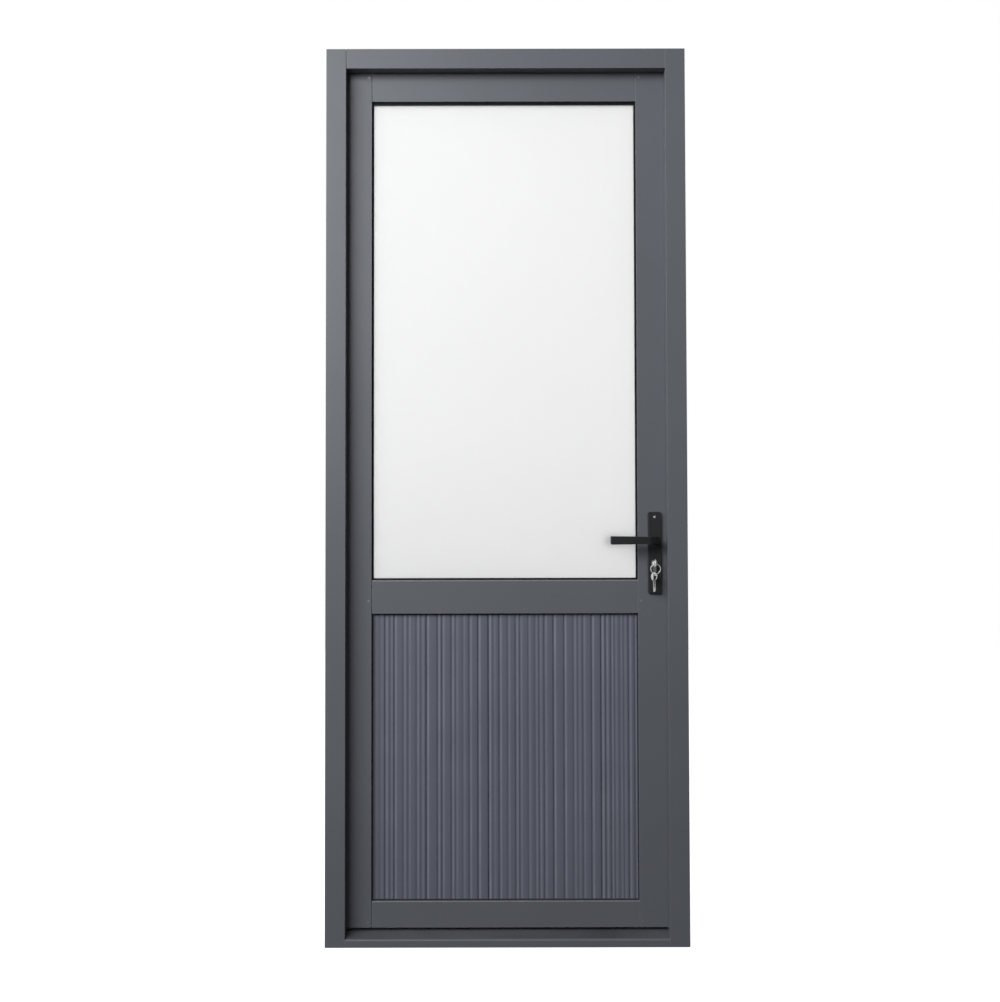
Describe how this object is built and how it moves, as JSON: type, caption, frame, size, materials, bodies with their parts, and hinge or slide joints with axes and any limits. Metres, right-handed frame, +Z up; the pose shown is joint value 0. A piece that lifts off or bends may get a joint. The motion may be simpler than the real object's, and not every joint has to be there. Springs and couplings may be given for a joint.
{
  "type": "hinged glass door",
  "caption": "Framed door leaf with a tall satin glass pane over a vertically reeded panel, lever handles on long plates, mortice lock with keys, side hinges and its outer frame.",
  "frame": {"origin": "Centre of the sill's underside: middle of the width, middle of the frame's depth, and the plane the frame stands on.", "axes": "+X to the right as seen from outside, +Y inwards through the wall, +Z up."},
  "size_m": [0.966, 0.162, 2.4],
  "materials": {
    "frame_paint": "slate grey powder coat, satin",
    "panel_paint": "slate grey powder coat, satin, slightly bluer",
    "seal_rubber": "black, matte",
    "handle_paint": "near-black coat, satin",
    "lock_steel": "plain steel",
    "plug_brass": "turned brass",
    "key_chrome": "bright nickel",
    "cleat_aluminium": "mill finish",
    "satin_glass": "satin, milky white",
    "grey_plastic": "plain"
  },
  "bodies": {
    "frame": {"jamb_hinge_side": "frame_paint", "jamb_lock_side": "frame_paint", "head": "frame_paint", "sill": "frame_paint", "frame_cleats": "cleat_aluminium", "frame_screws": "lock_steel", "weatherseal": "seal_rubber", "strike_plate": "lock_steel", "strike_screws": "lock_steel", "hinge_frame_wing_1": "frame_paint", "hinge_frame_wing_2": "frame_paint", "hinge_frame_wing_3": "frame_paint", "hinge_pins": "lock_steel", "hinge_frame_screws": "lock_steel"},
    "leaf": {"stile_hinge_side": "frame_paint", "stile_lock_side": "frame_paint", "top_rail": "frame_paint", "mid_rail": "frame_paint", "bottom_rail": "frame_paint", "rail_cleats": "cleat_aluminium", "cleat_pins": "frame_paint", "glass_pane": "satin_glass", "glass_gasket_outside": "seal_rubber", "glass_gasket_inside": "seal_rubber", "glass_beads_level": "frame_paint", "glass_beads_upright": "frame_paint", "setting_blocks": "grey_plastic", "panel_board_left": "panel_paint", "panel_board_middle": "panel_paint", "panel_board_right": "panel_paint", "panel_gaskets": "seal_rubber", "panel_beads_level": "frame_paint", "panel_beads_upright": "frame_paint", "bottom_seal": "seal_rubber", "hinge_leaf_wing_1": "frame_paint", "hinge_leaf_wing_2": "frame_paint", "hinge_leaf_wing_3": "frame_paint", "hinge_bushes": "grey_plastic", "hinge_leaf_screws": "lock_steel", "lock_case": "lock_steel", "lock_faceplate": "lock_steel", "lock_screws": "lock_steel", "cylinder_body": "lock_steel", "cylinder_plug_inside": "plug_brass", "handle_plate_outside": "handle_paint", "handle_plate_inside": "handle_paint", "plate_screws": "handle_paint"},
    "lever": {"lever_outside": "handle_paint", "lever_inside": "handle_paint", "spindle": "lock_steel", "lock_follower": "lock_steel", "grub_screws": "lock_steel"},
    "latch": {"latch_bolt": "lock_steel", "latch_spring": "lock_steel"},
    "deadbolt": {"deadbolt": "lock_steel"},
    "key": {"cylinder_plug_outside": "plug_brass", "cylinder_cam": "lock_steel", "key": "key_chrome", "key_ring": "key_chrome", "spare_key": "key_chrome"}
  },
  "joints": [
    {"name": "leaf_swing", "type": "hinge", "parent": "frame", "child": "leaf", "pos_m": [-0.451, 0.051, 1.203], "axis": [0, 0, 1], "range_deg": [0, 105]},
    {"name": "lever_press", "type": "hinge", "parent": "leaf", "child": "lever", "pos_m": [0.398, 0.02, 1.074], "axis": [0, -1, 0], "range_deg": [0, 40], "stiffness_Nm_per_rad": 1.5, "springref_deg": -22.92},
    {"name": "latch_slide", "type": "slide", "parent": "leaf", "child": "latch", "axis": [-1, 0, 0], "range_m": [0, 0.012], "deforming": ["latch_spring"]},
    {"name": "key_turn", "type": "hinge", "parent": "leaf", "child": "key", "pos_m": [0.398, 0, 1.012], "axis": [0, 1, 0], "range_deg": [0, 120]},
    {"name": "deadbolt_slide", "type": "slide", "parent": "leaf", "child": "deadbolt", "axis": [1, 0, 0], "range_m": [0, 0.02]}
  ],
  "couplings": [
    {"joint": "latch_slide", "follows": "lever_press", "m_per_rad": 0.017189},
    {"joint": "deadbolt_slide", "follows": "key_turn", "m_per_rad": 0.0095492}
  ]
}
